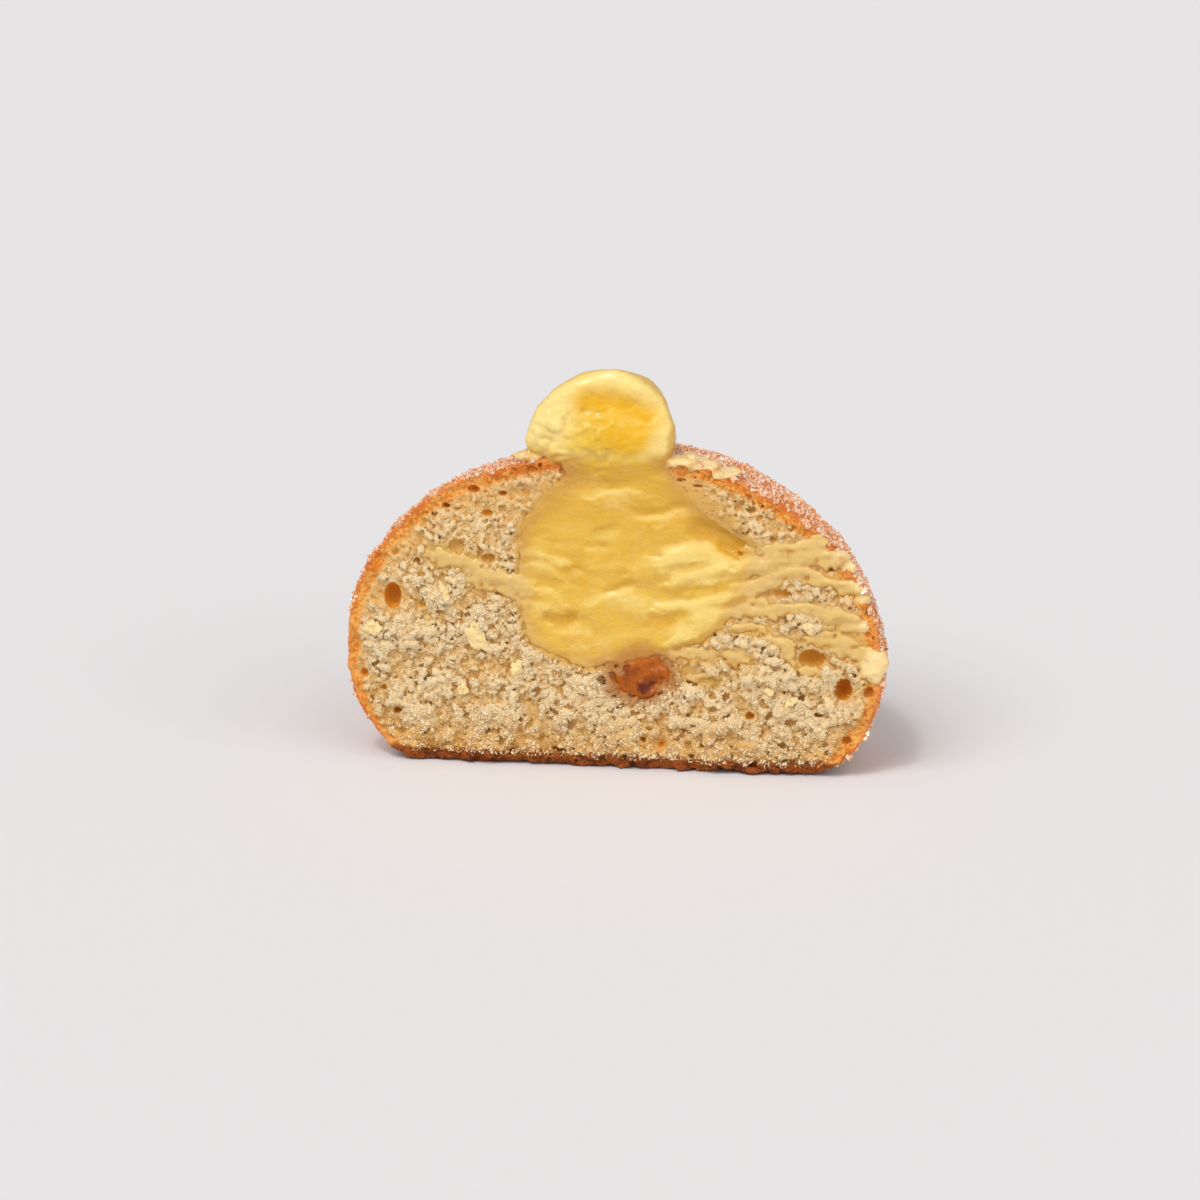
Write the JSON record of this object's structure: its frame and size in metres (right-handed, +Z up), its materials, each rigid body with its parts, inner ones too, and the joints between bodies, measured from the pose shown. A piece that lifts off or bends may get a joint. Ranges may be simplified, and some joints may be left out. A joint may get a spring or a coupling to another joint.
{
  "type": "custard-filled doughnut half",
  "caption": "Half of a round sugared yeast doughnut, cut upright to show its airy crumb, custard filling, a dab of caramel and a head of custard on top.",
  "frame": {"origin": "middle of the half doughnut's footprint, on the surface that it stands on", "axes": "+Z up, +X along the cut face to its right as seen from the front, and the cut face looks along -Y"},
  "size_m": [0.095, 0.049, 0.0719],
  "materials": {
    "dough": "dull fried crust rolled in sugar outside, soft matte crumb at the cut",
    "custard": "moist satin",
    "caramel": "wet gloss"
  },
  "bodies": {
    "root": {"dough": "dough", "custard": "custard", "caramel": "caramel"}
  },
  "joints": []
}
